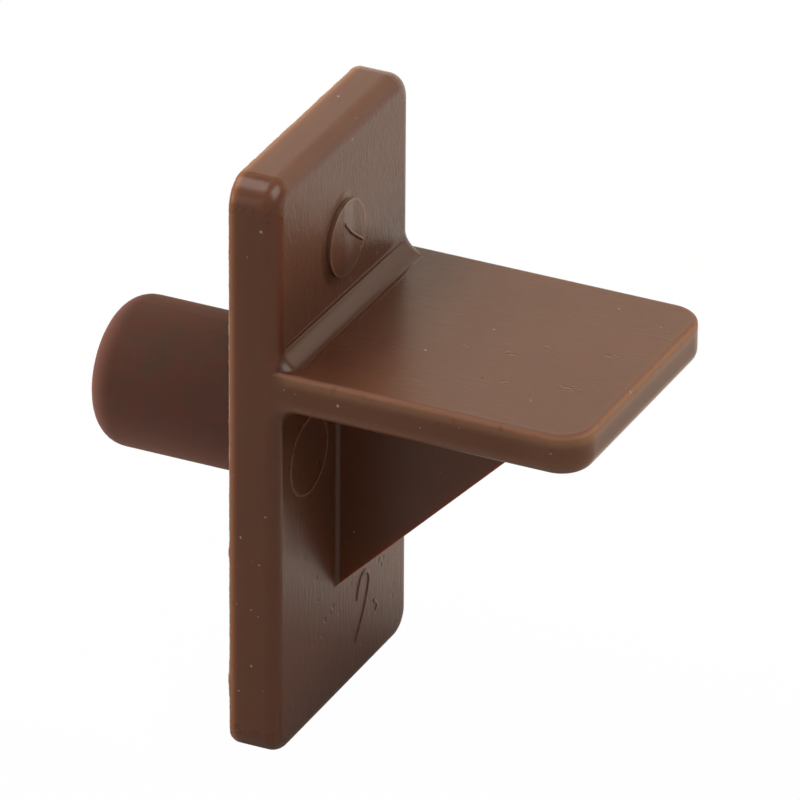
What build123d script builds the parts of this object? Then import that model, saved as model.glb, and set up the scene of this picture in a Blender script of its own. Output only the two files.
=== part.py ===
from build123d import *
import os

os.makedirs("parts", exist_ok=True)

# Shelf support pin, one plastic moulding. Millimetres, +Z up. The origin is on the pin's axis at the
# back face of the plate: the pin points along +Y into the cabinet side, the ledge along -Y under the shelf.

# Plate that lies against the cabinet side
plate_width = 12.2
plate_height = 25.4
pin_above_plate_bottom = 12.63
plate_thickness = 2.15
outline_radius = 1.2
back_edge_radius = 0.25

# Ledge that carries the shelf
ledge_depth = 13.0
ledge_thickness = 1.85
ledge_top_below_plate_top = 7.9
ledge_corner_radius = 1.4
crest_radius = 0.2

# Roundings shared by plate and ledge
upper_edge_radius = 0.7
lower_edge_radius = 0.6
inside_corner_radius = 0.8

# Rib under the ledge
rib_thickness = 1.4
rib_short_of_ledge_end = 2.67
rib_root_radius = 0.2

# Pin that goes into the drilled hole
pin_diameter = 6.2
pin_length = 7.92
pin_end_radius = 1.2

# Ejector marks: a proud disc above the ledge and two thin rings of flash beside the rib
disc_diameter = 3.2
disc_height = 0.16
disc_above_pin = 8.0
ring_diameter = 3.4
ring_width = 0.1
ring_height = 0.05
ring_from_middle = 3.2
ring_below_pin = 0.15

# Levels that follow
plate_bottom = -pin_above_plate_bottom
plate_top = plate_bottom + plate_height
front_face = -plate_thickness
ledge_end = front_face - ledge_depth
ledge_top = plate_top - ledge_top_below_plate_top
ledge_bottom = ledge_top - ledge_thickness
rib_leg = ledge_depth - rib_short_of_ledge_end
rib_tip = ledge_bottom - rib_leg
rib_end = front_face - rib_leg
rib_overlap = inside_corner_radius
crest_root = front_face / 2
crest_depth = crest_root - ledge_end
crest_thickness = ledge_thickness / 2

with BuildPart() as shelf_support:
    # Plate and ledge are one tee-shaped section, with both inside corners rounded
    with BuildSketch(Plane.YZ) as section:
        with BuildLine():
            Polyline(
                (0, plate_bottom),
                (0, plate_top),
                (front_face, plate_top),
                (front_face, ledge_top),
                (ledge_end, ledge_top),
                (ledge_end, ledge_bottom),
                (front_face, ledge_bottom),
                (front_face, plate_bottom),
                close=True,
            )
        make_face()
        inside_corners = section.vertices().group_by(Axis.X)[1].sort_by(Axis.Y)[1:3]
        fillet(inside_corners, inside_corner_radius)
    extrude(amount=plate_width / 2, both=True)

    # Corners of the plate's outline, then the free corners of the ledge
    along_pin = shelf_support.edges().filter_by(Axis.Y).group_by(Axis.Z)
    fillet(along_pin[0] + along_pin[-1], outline_radius)
    upright = shelf_support.edges().filter_by(Axis.Z).group_by(Axis.Y)
    fillet(upright[0], ledge_corner_radius)

    # Front edges run on without a break over plate, inside corner and ledge, above it and below it
    across = shelf_support.edges().filter_by(Axis.X).group_by(Axis.Y)
    front_across = across[-2].sort_by(Axis.Z)
    fillet(front_across[0], lower_edge_radius)
    fillet(front_across[-1], upper_edge_radius)
    back_outline = shelf_support.faces().sort_by(Axis.Y)[-1].edges()
    fillet(back_outline, back_edge_radius)

    # The mould parts along the ledge's upper edge, which is nearly sharp: a layer with its own small rounding
    # fills the ledge out to its sides, and the plate's rounded edges die out on it
    with BuildPart(mode=Mode.PRIVATE) as crest:
        with BuildSketch(Plane.XY.offset(ledge_top)):
            with Locations((0, ledge_end)):
                outline = Rectangle(plate_width, crest_depth, align=(Align.CENTER, Align.MIN))
            free_corners = outline.vertices().group_by(Axis.Y)[0]
            fillet(free_corners, ledge_corner_radius)
        extrude(amount=-crest_thickness)
        upper_outline = crest.faces().sort_by(Axis.Z)[-1].edges()
        fillet(upper_outline.sort_by(Axis.Y)[:-1], crest_radius)
    add(crest.part)

    # Rib at 45 degrees under the middle of the ledge, with rounded roots
    with BuildSketch(Plane.YZ) as rib_side:
        with BuildLine():
            Polyline(
                (front_face, rib_tip),
                (rib_end, ledge_bottom),
                (rib_end, ledge_bottom + rib_overlap),
                (front_face + rib_overlap, ledge_bottom + rib_overlap),
                (front_face + rib_overlap, rib_tip),
                close=True,
            )
        make_face()
    extrude(amount=rib_thickness / 2, both=True)
    for rib_face in (-rib_thickness / 2, rib_thickness / 2):
        on_rib_face = shelf_support.edges().filter_by_position(Axis.X, rib_face, rib_face)
        fillet(on_rib_face.sort_by(SortBy.LENGTH)[:-1], rib_root_radius)

    # Pin with a rounded free end
    with BuildSketch(Plane.ZX):
        Circle(pin_diameter / 2)
    extrude(amount=pin_length)
    pin_end = shelf_support.faces().sort_by(Axis.Y)[-1].edges()
    fillet(pin_end, pin_end_radius)

    # Ejector marks on the front face
    with BuildSketch(Plane.XZ.offset(plate_thickness)):
        with Locations((0, disc_above_pin)):
            Circle(disc_diameter / 2)
    extrude(amount=disc_height)
    with BuildSketch(Plane.XZ.offset(plate_thickness)):
        with Locations((-ring_from_middle, -ring_below_pin), (ring_from_middle, -ring_below_pin)):
            Circle(ring_diameter / 2)
            Circle(ring_diameter / 2 - ring_width, mode=Mode.SUBTRACT)
    extrude(amount=ring_height)

shelf_support.part.label = "shelf_support"
export_step(shelf_support.part, "parts/shelf_support.step")
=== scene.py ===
import bpy
import numpy as np
from mathutils import Matrix, Vector


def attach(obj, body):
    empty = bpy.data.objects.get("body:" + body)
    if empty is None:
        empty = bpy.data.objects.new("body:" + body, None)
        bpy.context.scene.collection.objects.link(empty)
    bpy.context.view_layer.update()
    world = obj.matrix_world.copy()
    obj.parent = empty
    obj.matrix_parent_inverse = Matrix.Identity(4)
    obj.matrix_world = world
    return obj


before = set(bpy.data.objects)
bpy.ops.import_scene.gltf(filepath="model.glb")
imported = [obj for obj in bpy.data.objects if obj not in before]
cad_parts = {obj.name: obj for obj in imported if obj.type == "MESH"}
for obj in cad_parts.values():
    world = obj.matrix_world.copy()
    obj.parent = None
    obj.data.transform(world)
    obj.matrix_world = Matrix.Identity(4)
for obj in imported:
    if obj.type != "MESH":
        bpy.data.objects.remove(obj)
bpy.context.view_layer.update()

# The moulding: plate, ledge, rib and pin in one shot of brown, slightly translucent plastic.
# The mould was milled and roughly polished, so fine tool lines run up the plate and along the ledge,
# and handling has left specks of dust. Pale edges are a painted glow and highlight, and some areas carry
# painted shade and painted light.
mm = 0.001
half_width = 6.1
plate_bottom = -12.63
plate_top = 12.77
outline_radius = 1.2
front_face = -2.15
ledge_top = 4.87
ledge_bottom = 3.02
ledge_end = -15.15
ledge_corner_radius = 1.4
rib_half_thickness = 0.7
rib_tip = -7.31
disc_middle = 8.0
disc_radius = 1.6
ring_from_middle = 3.2
ring_level = -0.15
ring_radius = 1.65

deep_brown = (0.138, 0.046, 0.018, 1)
warm_brown = (0.160, 0.055, 0.022, 1)
corner_shade_brown = (0.092, 0.026, 0.010, 1)
pin_brown = (0.074, 0.036, 0.016, 1)
pin_red = (0.134, 0.030, 0.014, 1)
pin_lit_pale = (0.26, 0.104, 0.078, 1)
edge_glow_tan = (0.34, 0.122, 0.049, 1)
crest_glow_tan = (0.33, 0.166, 0.088, 1)
rib_glow_red = (0.20, 0.060, 0.024, 1)
flash_tan = (0.46, 0.27, 0.15, 1)
line_grey = (0.22, 0.14, 0.10, 1)
dent_and_shade_brown = (0.05, 0.02, 0.01, 1)
dust_colour = (0.62, 0.54, 0.46, 1)


class Wire:
    """One value in a node tree. Python operators on it add Math nodes, and node() adds any other kind."""

    def __init__(self, tree, socket=None):
        self.tree = tree
        self.socket = socket

    def node(self, kind, settings, inputs, output=None):
        """Adds a node of that kind: its settings first, then a value or a wire for each input."""
        made = self.tree.nodes.new(kind)
        for name, value in settings.items():
            setattr(made, name, value)
        sockets = {s.identifier: s for s in made.inputs}
        for name, value in inputs.items():
            if isinstance(value, Wire):
                self.tree.links.new(value.socket, sockets[name])
            else:
                sockets[name].default_value = value
        return Wire(self.tree, next((s for s in made.outputs if s.identifier == output), None))

    def math(self, operation, first, second):
        inputs = {"Value": first, "Value_001": second}
        return self.node("ShaderNodeMath", {"operation": operation}, inputs, "Value")

    def __add__(self, other):
        return self.math("ADD", self, other)

    def __radd__(self, other):
        return self.math("ADD", other, self)

    def __sub__(self, other):
        return self.math("SUBTRACT", self, other)

    def __rsub__(self, other):
        return self.math("SUBTRACT", other, self)

    def __mul__(self, other):
        return self.math("MULTIPLY", self, other)

    def __rmul__(self, other):
        return self.math("MULTIPLY", other, self)

    def __abs__(self):
        return self.math("ABSOLUTE", self, 0.0)

    def over(self, level):
        """How far this is above the level, and 0 below it."""
        return self.math("MAXIMUM", self - level, 0.0)

    def beside(self, other):
        """The length of the hypotenuse over this and the other."""
        return self.math("SQRT", self * self + other * other, 0.0)

    def rise(self, low, high):
        """0 at low, 1 at high, eased between; with low above high it falls instead."""
        inputs = {"Value": self, "From Min": low, "From Max": high}
        return self.node("ShaderNodeMapRange", {"interpolation_type": "SMOOTHSTEP"}, inputs, "Result")

    def band(self, low, high, soft):
        """1 between low and high, eased to 0 over soft outside them."""
        return self.rise(low - soft, low) * self.rise(high + soft, high)

    def stretch(self, x, y, z):
        """The vector with its three parts multiplied by x, y and z."""
        inputs = {"Vector": self, "Vector_001": (x, y, z)}
        return self.node("ShaderNodeVectorMath", {"operation": "MULTIPLY"}, inputs, "Vector")

    def away_from(self, point):
        """The distance of the vector from a point."""
        inputs = {"Vector": self, "Vector_001": point}
        return self.node("ShaderNodeVectorMath", {"operation": "DISTANCE"}, inputs, "Value")

    def part(self, axis):
        return self.node("ShaderNodeSeparateXYZ", {}, {"Vector": self}, axis)

    def noise(self, detail, roughness=0.5, distortion=0.0):
        """Smooth noise about 0 that changes over one unit of the vector."""
        inputs = {"Vector": self, "Scale": 1.0, "Detail": detail}
        inputs |= {"Roughness": roughness, "Distortion": distortion}
        return self.node("ShaderNodeTexNoise", {}, inputs, "Fac") - 0.5

    def mix(self, first, second):
        """The colour first where this is 0, second where it is 1."""
        inputs = {"Factor_Float": self, "A_Color": first, "B_Color": second}
        return self.node("ShaderNodeMix", {"data_type": "RGBA"}, inputs, "Result_Color")

    def ray(self, kind):
        """1 for rays of that kind, such as Is Camera Ray, and 0 for the others."""
        return self.node("ShaderNodeLightPath", {}, {}, kind)


def new_material(name):
    """A material with an empty node tree, and a wire to its Object coordinates in millimetres."""
    material = bpy.data.materials.new(name)
    material.use_nodes = True
    material.node_tree.nodes.clear()
    place = Wire(material.node_tree).node("ShaderNodeTexCoord", {}, {}, "Object")
    return material, place.stretch(1 / mm, 1 / mm, 1 / mm)


plastic, place = new_material("brown_plastic_moulding")
x = place.part("X")
y = place.part("Y")
z = place.part("Z")
on_front = y.band(front_face - 0.3, front_face + 0.03, 0.05)
on_ledge_top = z.band(ledge_top - 0.02, ledge_top + 0.02, 0.05) * y.rise(front_face - 0.6, front_face - 1.0)
on_pin = y.rise(0.02, 0.25)

# Tool lines: fast across, slower along, broken up, and stronger in some patches than in others
plate_line_height = 0.023
ledge_line_height = 0.009
peel_height = 0.004
grain_height = 0.002
below_ledge = z.rise(ledge_top, ledge_top - 2)
patches = place.stretch(0.5, 0.5, 0.5).noise(2.0).rise(-0.2, 0.2) * 0.8 + 0.4
long_lines = place.stretch(6, 1, 0.9).noise(4.0, 0.65) * below_ledge
short_lines = place.stretch(4, 1, 2.2).noise(5.0, 0.7, 0.8) * (1 - below_ledge)
off_ledge = abs(z - (ledge_top + ledge_bottom) / 2).rise(1.6, 1.85)
plate_lines = (long_lines + short_lines * 1.3) * on_front * off_ledge
ledge_lines = place.stretch(4.5, 1.1, 1).noise(4.0, 0.65, 0.6) * on_ledge_top
peel = place.stretch(0.8, 0.8, 0.8).noise(1.0)
grain = place.stretch(12, 12, 12).noise(2.0)
height = (plate_lines * plate_line_height + ledge_lines * ledge_line_height) * patches
height = height + peel * peel_height + grain * grain_height

# The mould's insert ends at the rounded inside corner: a groove under a ridge on the plate, one on the ledge
plate_seam_level = 5.44
plate_seam_slope = 0.018
plate_seam_height = 0.012
ledge_seam_place = -2.99
ledge_seam_height = 0.006
plate_seam = z + x * plate_seam_slope - plate_seam_level
ledge_seam = y - ledge_seam_place
between_sides = abs(x).rise(half_width - 0.7, half_width - 1.0)
plate_step = plate_seam.band(0.08, 0.12, 0.05) - plate_seam.band(-0.02, 0.02, 0.05)
ledge_step = ledge_seam.band(-0.10, -0.04, 0.06) - ledge_seam.band(0.05, 0.09, 0.06)
on_corner = z.band(ledge_top - 0.02, ledge_top + 0.08, 0.05)
seams = plate_step * on_front * plate_seam_height + ledge_step * on_corner * ledge_seam_height
height = height + seams * between_sides

# The ejector disc has a soft foot, with painted shade on its left side
foot_reach = 0.55
foot_height = 0.13
from_disc = x.beside(z - disc_middle)
disc_foot = from_disc.rise(disc_radius + foot_reach, disc_radius + 0.05) * on_front
disc_foot = disc_foot * (z - disc_middle).rise(-1.9, -0.7) * x.rise(0.6, -0.4)
height = height + disc_foot * foot_height
foot_shade = disc_foot * from_disc.rise(disc_radius - 0.02, disc_radius + 0.02) * x.rise(0.8, -0.8)

# Dents near the rib's tip, each at x, z and of a size, with smaller pits of a coarse pattern about them
dent_depth = 0.03
pit_scale = 2.6
dents = [(3.2, -8.05, 0.16), (3.65, -8.15, 0.12), (3.45, -8.4, 0.14), (-2.35, -7.15, 0.10)]
dents += [(-0.95, -8.1, 0.16), (-1.7, -8.35, 0.14), (-1.95, -8.95, 0.10), (-1.2, -8.3, 0.09)]
dent = 0.0
for dent_x, dent_z, dent_size in dents:
    dent = dent + place.away_from((dent_x, front_face, dent_z)).rise(dent_size, dent_size * 0.3)
pit_cell = {"Vector": place.stretch(1, 1, 0.7), "Scale": pit_scale}
from_pit = place.node("ShaderNodeTexVoronoi", {}, pit_cell, "Distance")
pit_lot = place.node("ShaderNodeTexVoronoi", {}, pit_cell, "Color").part("X")
left_patch = z.band(-9.0, -5.5, 1.5) * x.band(-3.2, 0.5, 1.0)
right_patch = z.band(-10.5, -8.0, 1.0) * x.band(2.5, 5.0, 0.5)
pits = from_pit.rise(0.26, 0.10) * pit_lot.rise(0.5, 0.8) * (left_patch + right_patch)
dent = dent + pits * on_front * 0.8
height = height - dent * dent_depth

# Scuffs on the ledge's top: shallow ragged patches at x, y, with their reach across and along the tool lines
scuff_height = 0.10
scuffs = [(-0.6, -9.6, 0.16, 0.30), (-2.2, -12.9, 0.22, 0.65), (0.9, -13.3, 0.14, 0.40)]
scuffs += [(0.5, -10.7, 0.12, 0.28), (-0.8, -7.85, 0.12, 0.35), (-2.85, -10.45, 0.20, 0.30)]
scuff = 0.0
for scuff_x, scuff_y, scuff_across, scuff_along in scuffs:
    from_scuff = ((x - scuff_x) * (1 / scuff_across)).beside((y - scuff_y) * (1 / scuff_along))
    scuff = scuff + from_scuff.rise(1.0, 0.3) * on_ledge_top
height = height + scuff * place.stretch(5, 2.5, 1).noise(3.0) * scuff_height


def into_border(across, along, half_across, end, radius):
    """How far a place is into the rounded border of a flat shape: 0 in its middle, the radius at its rim."""
    return abs(across).over(half_across - radius).beside(along.over(end - radius))


# Painted edge glow and highlight: the ledge's upper outline, the plate's back outline and the rib's free edge
# are painted pale
half_height = (plate_top - plate_bottom) / 2
middle = (plate_top + plate_bottom) / 2
ledge_border = into_border(x, y * -1.0, half_width, -ledge_end, ledge_corner_radius)
plate_border = into_border(x, abs(z - middle), half_width, half_height, outline_radius)
on_ledge_border = ledge_border.rise(ledge_corner_radius - 0.20, ledge_corner_radius - 0.02)
on_ledge_border = on_ledge_border * y.rise(front_face + 0.2, front_face - 0.6)
crest = z.rise(ledge_top - 0.70, ledge_top - 0.15) * z.rise(ledge_top + 0.04, ledge_top - 0.12)
lower_edge = z.rise(ledge_bottom + 0.80, ledge_bottom + 0.20) * z.rise(ledge_bottom - 0.1, ledge_bottom)
free_end = y.rise(ledge_end + 3.65, ledge_end + 0.3) * z.rise(ledge_top, ledge_top - 0.20)
free_end = free_end * z.rise(ledge_bottom - 0.1, ledge_bottom)
end_glow = y.rise(ledge_end + 0.5, ledge_end + 0.05) * z.rise(ledge_top - 0.95, ledge_top - 0.25)
ledge_glow_mask = (crest * 0.65 + lower_edge * 0.35 + free_end * 0.2 + end_glow * 0.25) * on_ledge_border
halo = ledge_border.rise(ledge_corner_radius - 0.5, ledge_corner_radius) * on_ledge_top * 0.12
back_rim_glow = plate_border.rise(outline_radius - 0.5, outline_radius - 0.3)
back_rim_glow = back_rim_glow * (y.band(-0.05, 0.02, 0.45) + y.band(-0.05, 0.02, 1.1) * 0.12)
flash_crest = plate_border.rise(outline_radius - 0.06, outline_radius + 0.02) * y.rise(-0.4, -0.1)
rib_depth = (y + z - front_face - rib_tip) * np.sqrt(0.5)
rib_edge = rib_depth.rise(0.70, 0.05) * abs(x).rise(rib_half_thickness + 0.1, rib_half_thickness + 0.02)
rib_edge = rib_edge * y.rise(front_face - 0.1, front_face - 0.4)
rib_edge = rib_edge * z.rise(ledge_bottom + 0.1, ledge_bottom - 0.1)
patchy = place.stretch(2.5, 2.5, 2.5).noise(3.0) + 0.5
rib_highlight_line = rib_edge * rib_depth.rise(0.12, 0.02)
painted_edge_glow = (back_rim_glow + rib_highlight_line * 0.2) * patchy.rise(0.05, 0.45)
ledge_edge_glow = (ledge_glow_mask + halo) * patchy.rise(0.05, 0.45)

# Pale lines along the ejector rings, and a painted highlight along the ejector disc's rim
disc_rim_highlight = from_disc.band(disc_radius - 0.06, disc_radius + 0.02, 0.03)
from_ring = (abs(x) - ring_from_middle).beside(z - ring_level)
ring_line = from_ring.band(ring_radius - 0.04, ring_radius + 0.04, 0.03)
ejector_lines_and_highlight = (disc_rim_highlight * 0.6 + ring_line) * on_front * patchy.rise(0.10, 0.55)

# Dust: single specks where they show, and a few cells of a coarse pattern with one small speck each.
# A wobble of the coordinates makes the specks ragged.
wobble_reach = 0.14
wobble_scale = 9.0
speck_cell_scale = 3.0
near_side_specks = [(-1.5, 10.9, 0.08), (-1.65, -1.65, 0.05), (-2.2, -1.9, 0.05), (-0.6, -2.8, 0.06)]
near_side_specks += [(-4.8, 4.05, 0.07), (-1.4, -3.85, 0.05), (-2.2, -4.25, 0.05), (-1.05, -5.95, 0.06)]
near_side_specks += [(-1.35, -6.2, 0.05), (-2.0, -6.3, 0.09), (-2.1, -5.9, 0.06), (-1.9, -7.05, 0.05)]
near_side_specks += [(-2.05, -7.35, 0.07), (-1.05, -8.5, 0.06), (-0.5, -9.75, 0.05)]
specks = [(-half_width, speck_y, speck_z, size) for speck_y, speck_z, size in near_side_specks]
specks += [(2.4, -0.7, plate_top, 0.07), (1.4, -2.0, 12.6, 0.07), (0.65, front_face, 12.0, 0.08)]
specks += [(-1.8, -6.55, ledge_top, 0.06), (4.65, -11.9, ledge_top, 0.05), (-5.6, -15.0, 4.8, 0.07)]
specks += [(-1.8, -15.1, 4.7, 0.06), (-1.3, -15.1, 4.75, 0.06), (1.05, -15.1, 4.5, 0.07)]
wobble_noise = {"Vector": place, "Scale": wobble_scale, "Detail": 2.0}
wobble = place.node("ShaderNodeTexNoise", {}, wobble_noise, "Color")
shift = {"Vector": wobble.stretch(wobble_reach, wobble_reach, wobble_reach), "Vector_001": place}
ragged = place.node("ShaderNodeVectorMath", {"operation": "ADD"}, shift, "Vector")
cell = {"Vector": ragged, "Scale": speck_cell_scale}
from_speck = place.node("ShaderNodeTexVoronoi", {}, cell, "Distance")
lot = place.node("ShaderNodeTexVoronoi", {}, cell, "Color").part("X")
speck = from_speck.rise(0.16, 0.08) * lot.rise(0.97, 1.0)
for *speck_place, speck_size in specks:
    from_place = ragged.away_from(np.array(speck_place) + wobble_reach / 2)
    speck = speck + from_place.rise(speck_size, speck_size * 0.5)

# The colour is a little uneven and redder on the pin; painted shade darkens the sheltered corner over the
# ledge and the bottom of the front face
cloud = place.stretch(0.25, 0.25, 0.25).noise(3.0) * 1.6 + 0.5
# Painted shade on the ledge's top: darker overall, and most towards its near side
cloud = cloud + (x * 0.06 - 0.25) * on_ledge_top
from_corner = (y - front_face).beside(z - ledge_top)
# Painted shade in the corner over the ledge
painted_corner_shade = from_corner.rise(5.0, 0.8) * z.rise(ledge_top - 0.1, ledge_top)
painted_corner_shade = painted_corner_shade * y.rise(front_face + 0.1, front_face)
# Painted shade, darker towards the bottom of the front face
painted_low_shade = z.rise(-8.0, plate_bottom) * on_front * 0.9
colour = (painted_corner_shade + painted_low_shade).mix(cloud.mix(deep_brown, warm_brown), corner_shade_brown)
mottle = place.stretch(1.2, 0.9, 1.2).noise(6.0, 0.8) * 2.6 + 0.5
pin_colour = mottle.mix(pin_brown, pin_red)
# Painted light: the pin is paler underneath and towards its free end
pin_painted_light = z.rise(2.0, -3.0) * 0.55 + y.rise(6.7, 7.9) * 0.90
colour = on_pin.mix(colour, pin_painted_light.mix(pin_colour, pin_lit_pale))
# Painted glow: the rib's free edge is painted redder
colour = (rib_edge * 0.4).mix(colour, rib_glow_red)
# Painted glow and highlight: the plate's back rim and a line on the rib's free edge are painted pale
colour = painted_edge_glow.mix(colour, edge_glow_tan)
# Painted glow and highlight along the ledge's upper outline, its lower edge and its free end
colour = ledge_edge_glow.mix(colour, crest_glow_tan)
colour = (flash_crest * 0.45).mix(colour, flash_tan)
# Pale ring lines, and the painted highlight on the disc's rim
colour = ejector_lines_and_highlight.mix(colour, line_grey)
# Darker dents, and painted shade beside the disc's foot
colour = (dent * 0.6 + foot_shade * 0.6).mix(colour, dent_and_shade_brown)
colour = (speck * 0.55).mix(colour, dust_colour)
edge_band = on_ledge_border * z.rise(ledge_top - 0.5, ledge_top - 0.2)
uneven = place.stretch(1.5, 1.5, 1.5).noise(3.0) * 0.10
smooth_corner = abs(x).rise(4.4, 5.6) * abs(z - middle).rise(10.9, 12.1)
roughness = 0.30 + on_pin * 0.50 + edge_band * 0.35 + foot_shade * 0.2 + uneven + speck * 0.2
roughness = roughness - smooth_corner * 0.05

normal = place.node("ShaderNodeBump", {}, {"Height": height, "Distance": mm, "Strength": 1.0}, "Normal")
body_finish = {
    "Base Color": colour,
    "Roughness": roughness,
    "Normal": normal,
    "IOR": 1.46,
    "Subsurface Weight": 1.0,
    "Subsurface Radius": (1.0, 0.30, 0.12),
    "Subsurface Scale": 0.5 * mm,
}
shader = place.node("ShaderNodeBsdfPrincipled", {}, body_finish, "BSDF")
place.node("ShaderNodeOutputMaterial", {}, {"Surface": shader})
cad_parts["shelf_support"].material_slots[0].material = plastic

# Flash: where the halves of the mould met, a thin ragged fin of the same plastic stands along the plate's
# back edge. It was squeezed out with the moulding and partly rubbed off, so its height keeps changing.
back_edge_radius = 0.25
fin_root = 0.06
fin_half_thickness = 0.022
fin_height = 0.016
fin_wave = 0.005
fin_lowest = 0.004
fin_tallest = 0.07
blob_height = 0.05
flash_brown = (0.54, 0.31, 0.18, 1)
flash_pale = (0.84, 0.64, 0.45, 1)


def skin(name, rings, looped, finish):
    """A closed surface over rings of points in millimetres, each ring joined to the next. When looped the
    last ring joins the first; otherwise a fan about its middle closes each end ring."""
    count, around = rings.shape[:2]
    here = np.arange(count if looped else count - 1)[:, None] * around
    there = (here + around) % (count * around)
    step = np.arange(around)
    turn = (step + 1) % around
    quads = np.stack([here + step, here + turn, there + turn, there + step], -1).reshape(-1, 4)
    points = rings.reshape(-1, 3)
    fans = np.empty((0, 3), int)
    if not looped:
        middles = np.stack([rings[0].mean(0), rings[-1].mean(0)])
        first = np.full(around, len(points))
        last = (count - 1) * around
        start = np.stack([first, turn, step], 1)
        end = np.stack([first + 1, last + step, last + turn], 1)
        points = np.concatenate([points, middles])
        fans = np.concatenate([start, end])
    corners = points[np.concatenate([quads[:, :3], quads[:, [0, 2, 3]], fans])]
    inside_out = np.einsum("ij,ij->", np.cross(corners[:, 0], corners[:, 1]), corners[:, 2]) < 0
    order = -1 if inside_out else 1
    mesh = bpy.data.meshes.new(name)
    mesh.from_pydata((points * mm).tolist(), [], quads[:, ::order].tolist() + fans[:, ::order].tolist())
    mesh.polygons.foreach_set("use_smooth", np.ones(len(mesh.polygons), bool))
    mesh.materials.append(finish)
    made = bpy.data.objects.new(name, mesh)
    bpy.context.scene.collection.objects.link(made)
    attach(made, "root")


def flash_rings():
    """Rings of a fin along the plate's back outline. The outline is a circle of the corner radius pushed out
    to the four corners and measured off by length. The fin leans out at 45 degrees, a stretched ellipse whose
    height is a base height plus waves of unrelated lengths and two thicker blobs on one side."""
    angle = (np.arange(720) + 0.5) / 720 * 2 * np.pi
    way = np.stack([np.cos(angle), np.sin(angle)], 1)
    core = np.array([half_width, half_height]) - outline_radius
    edge = np.sign(way) * core + way * outline_radius
    edge = np.concatenate([edge, edge[:1]])
    way = np.concatenate([way, way[:1]])
    run = np.concatenate([[0], np.cumsum(np.linalg.norm(np.diff(edge, axis=0), axis=1))])
    s = np.linspace(0, run[-1], 900, endpoint=False)
    px = np.interp(s, run, edge[:, 0])
    pz = np.interp(s, run, edge[:, 1]) + middle
    nx = np.interp(s, run, way[:, 0])
    nz = np.interp(s, run, way[:, 1])
    waves = np.sin(1.7 * s) + np.sin(4.1 * s + 1) + np.sin(9.3 * s + 2) + np.sin(21 * s + 4)
    blobs = np.exp(-((pz + 3.6) / 0.25) ** 2) + np.exp(-((pz + 9.4) / 0.5) ** 2)
    tall = fin_height + fin_wave * waves + blob_height * blobs * (px < 0)
    tall = np.clip(tall, fin_lowest, fin_tallest)
    v = np.linspace(0, 2 * np.pi, 10, endpoint=False)
    up = np.where(np.cos(v) > 0, tall[:, None] * np.cos(v), fin_root * np.cos(v))
    across = fin_half_thickness * np.sin(v)
    slope = np.sqrt(0.5)
    inset = back_edge_radius * (1 - slope)
    outwards = slope * (up + across) - inset
    ring_x = px[:, None] + nx[:, None] * outwards
    ring_y = slope * (up - across) - inset
    ring_z = pz[:, None] + nz[:, None] * outwards
    return np.stack([ring_x, ring_y, ring_z], -1)


thin_plastic, fin_place = new_material("thin_flash_plastic")
fin_wear = (fin_place.stretch(1.3, 1.3, 1.3).noise(3.0) + 0.5).rise(0.40, 0.65)
fin_finish = {"Base Color": fin_wear.mix(flash_brown, flash_pale), "Roughness": 0.5}
fin_shader = fin_place.node("ShaderNodeBsdfPrincipled", {}, fin_finish, "BSDF")
fin_place.node("ShaderNodeOutputMaterial", {}, {"Surface": fin_shader})
skin("flash", flash_rings(), True, thin_plastic)

# Tool marks: scratches in the steel of the mould stand up from the plastic as low rounded beads.
# One bent stroke crosses the ejector disc; a long hooked one and a short curl lie below the rib's tip.
disc_face = -2.31


def bead_rings(corners, face, width, height):
    """Rings of a bead on the plate: an ellipse of that width and twice that height, half of it sunk, carried
    along a cubic B-spline of the corner points (x, z) and narrowed to a tip at both ends."""
    ends = np.concatenate([corners[:1], corners[:1], corners, corners[-1:], corners[-1:]])
    t = np.linspace(0, len(ends) - 3, 80, endpoint=False)
    f = (t % 1)[:, None]
    second = 3 * f**3 - 6 * f**2 + 4
    third = -3 * f**3 + 3 * f**2 + 3 * f + 1
    weights = np.concatenate([(1 - f) ** 3, second, third, f**3], 1) / 6
    line = np.einsum("ij,ijk->ik", weights, ends[t.astype(int)[:, None] + np.arange(4)])
    along = np.gradient(line, axis=0)
    along = along / np.linalg.norm(along, axis=1, keepdims=True)
    side = np.stack([-along[:, 1], along[:, 0]], 1)
    u = np.linspace(-1, 1, len(line))
    narrow = np.sqrt(1 - 0.99 * np.abs(u) ** 8)[:, None]
    v = np.linspace(0, 2 * np.pi, 12, endpoint=False)
    across = width / 2 * np.cos(v) * narrow
    flat = line[:, None, :] + side[:, None, :] * across[:, :, None]
    return np.stack([flat[..., 0], face - height * np.sin(v) * narrow, flat[..., 1]], -1)


disc_stroke = np.array([(-0.25, 8.7), (0.35, 8.05), (0.9, 7.65), (1.3, 7.35)])
hook = np.array([(1.25, -8.95), (1.4, -8.35), (1.7, -7.95), (2.15, -7.95)])
hook = np.concatenate([hook, [(2.4, -8.35), (2.3, -8.8), (1.85, -9.8), (1.1, -10.8)]])
curl = np.array([(2.8, -9.7), (3.1, -9.95), (3.1, -10.15), (2.95, -10.2)])
skin("disc_stroke_mark", bead_rings(disc_stroke, disc_face, 0.16, 0.045), False, plastic)
skin("hooked_mark", bead_rings(hook, front_face, 0.22, 0.048), False, plastic)
skin("curled_mark", bead_rings(curl, front_face, 0.18, 0.03), False, plastic)

# Table: a wide pale grey sheet that the support stands on, with its soft shadow. It fades to white at the
# right, which the plate's face reflects, and under the pin, which it lights from below.
# To the camera it is the white ground of a catalogue picture, with a trace of the shadow.
table_reach = 2000.0
table_steps = 20
table_gap = 0.01
table_grey = (0.35, 0.35, 0.35, 1)
table_white = (0.90, 0.82, 0.74, 1)
warm_gloss = (1.0, 0.94, 0.83, 1)
white_share = 0.99
grey_gloss_share = 0.08
white_gloss_share = 0.80

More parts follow.
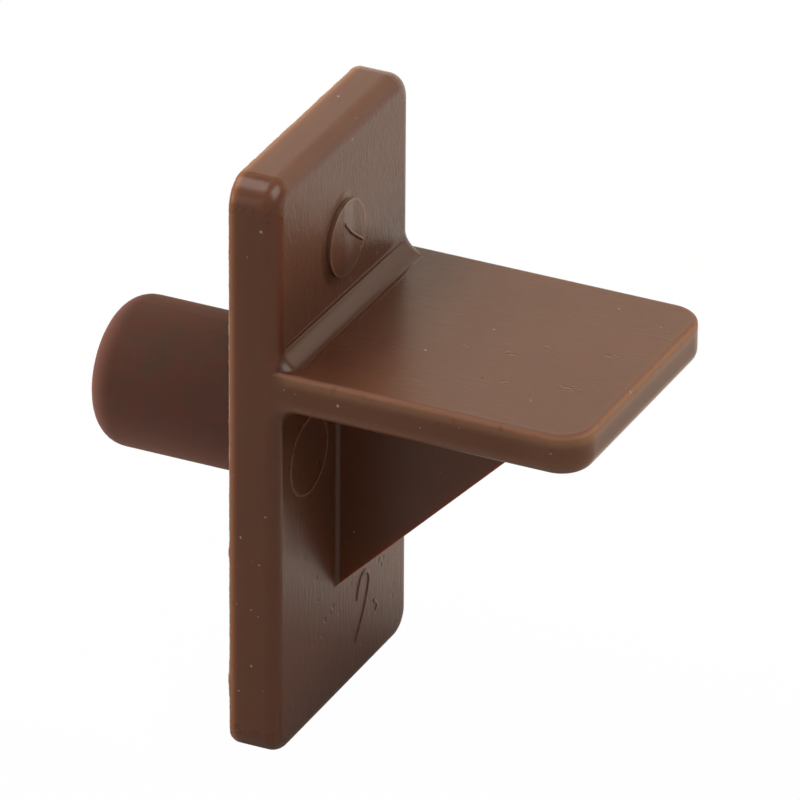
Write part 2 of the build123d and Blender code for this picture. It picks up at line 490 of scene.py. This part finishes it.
# A flat square grid just under the plate
reach = np.linspace(-table_reach, table_reach, table_steps + 1)
u, v = np.meshgrid(reach, reach, indexing="ij")
points = np.stack([u, v, np.full_like(u, plate_bottom - table_gap)], -1).reshape(-1, 3)
corner = (np.arange(table_steps)[:, None] * (table_steps + 1) + np.arange(table_steps)).ravel()
faces = np.stack([corner, corner + table_steps + 1, corner + table_steps + 2, corner + 1], 1)
table_top = bpy.data.meshes.new("table")
table_top.from_pydata((points * mm).tolist(), [], faces.tolist())
table = bpy.data.objects.new("table", table_top)
bpy.context.scene.collection.objects.link(table)

table_paper, spot = new_material("grey_and_white_table")
rightwards = spot.part("X")
backwards = spot.part("Y")
beside_plate = backwards.rise(-34.0, -16.0)
white = rightwards.rise(3.0, 15.0) * (beside_plate + (1 - beside_plate) * rightwards.rise(26.0, 52.0))
white = white + rightwards.band(-5.0, 6.0, 4.0) * backwards.band(5.0, 80.0, 3.0)
seen_straight = spot.ray("Is Camera Ray") + spot.ray("Is Transmission Ray")
in_gloss = spot.ray("Is Glossy Ray")
shown_white = seen_straight * white_share + in_gloss * (white * white_gloss_share + grey_gloss_share)
glow_colour = in_gloss.mix((1, 1, 1, 1), warm_gloss)
matt = spot.node("ShaderNodeBsdfDiffuse", {}, {"Color": white.mix(table_grey, table_white)}, "BSDF")
glow = spot.node("ShaderNodeEmission", {}, {"Color": glow_colour, "Strength": 1.0}, "Emission")
layers = {"Fac": shown_white, "Shader": matt, "Shader_001": glow}
mixed = spot.node("ShaderNodeMixShader", {}, layers, "Shader")
spot.node("ShaderNodeOutputMaterial", {}, {"Surface": mixed})
table_top.materials.append(table_paper)

# Light: a dim pale room and four softboxes. One is high in front and one high behind; a low one behind on
# the left makes the plate's back rim glow, and a wide low one at the right is what the level faces reflect.
room_level = 0.30
lamp_distance = 0.6
room = bpy.data.worlds.new("pale_room")
room.use_nodes = True
room.node_tree.nodes.clear()
air = Wire(room.node_tree)
seen_straight = air.ray("Is Camera Ray") + air.ray("Is Transmission Ray")
level = (seen_straight + air.ray("Is Glossy Ray") * grey_gloss_share) * (1 - room_level) + room_level
backdrop = air.node("ShaderNodeBackground", {}, {"Color": (1, 1, 1, 1), "Strength": level}, "Background")
air.node("ShaderNodeOutputWorld", {}, {"Surface": backdrop})
bpy.context.scene.world = room


def softbox(name, azimuth, elevation, width, height, radiance, tint):
    """An area lamp that faces the support from that bearing; sizes in metres, and radiance 1 looks white."""
    a, e = np.radians((azimuth, elevation))
    away = Vector((np.sin(a) * np.cos(e), -np.cos(a) * np.cos(e), np.sin(e)))
    lamp = bpy.data.lights.new(name, "AREA")
    lamp.shape = "RECTANGLE"
    lamp.size = width
    lamp.size_y = height
    lamp.energy = radiance * np.pi * width * height
    lamp.color = tint
    made = bpy.data.objects.new(name, lamp)
    made.location = away * lamp_distance
    made.rotation_euler = away.to_track_quat("Z", "Y").to_euler()
    bpy.context.scene.collection.objects.link(made)


softbox("front_softbox", -8, 53, 0.45, 0.45, 2.9, (1, 0.98, 0.95))
softbox("rear_softbox", 188, 58, 0.42, 0.42, 2.8, (1, 0.96, 0.90))
softbox("rim_softbox", 225, 15, 0.35, 0.30, 2.2, (1, 0.96, 0.90))
softbox("right_softbox", 84, 20, 1.05, 0.45, 0.85, (1, 0.88, 0.66))

# Camera: a long lens from the left, well above the ledge, fitted to the photograph's edges.
azimuth, elevation, roll = np.radians((-64.642, 28.204, 0.335))
aim = Vector((1.880, -3.702, 0.211)) * mm
distance = 471.6 * mm
back = Vector((np.sin(azimuth) * np.cos(elevation), -np.cos(azimuth) * np.cos(elevation), np.sin(elevation)))
level_right = Vector((0, 0, 1)).cross(back).normalized()
level_up = back.cross(level_right)
right = level_right * np.cos(roll) + level_up * np.sin(roll)
turn = Matrix((right, back.cross(right), back)).transposed()
lens = bpy.data.cameras.new("long_lens")
lens.sensor_width = 36.0
lens.lens = 536.1
lens.clip_end = 10.0
viewer = bpy.data.objects.new("viewer", lens)
viewer.matrix_world = Matrix.Translation(aim + back * distance) @ turn.to_4x4()
bpy.context.scene.collection.objects.link(viewer)
bpy.context.scene.camera = viewer
bpy.context.scene.view_settings.view_transform = "Standard"
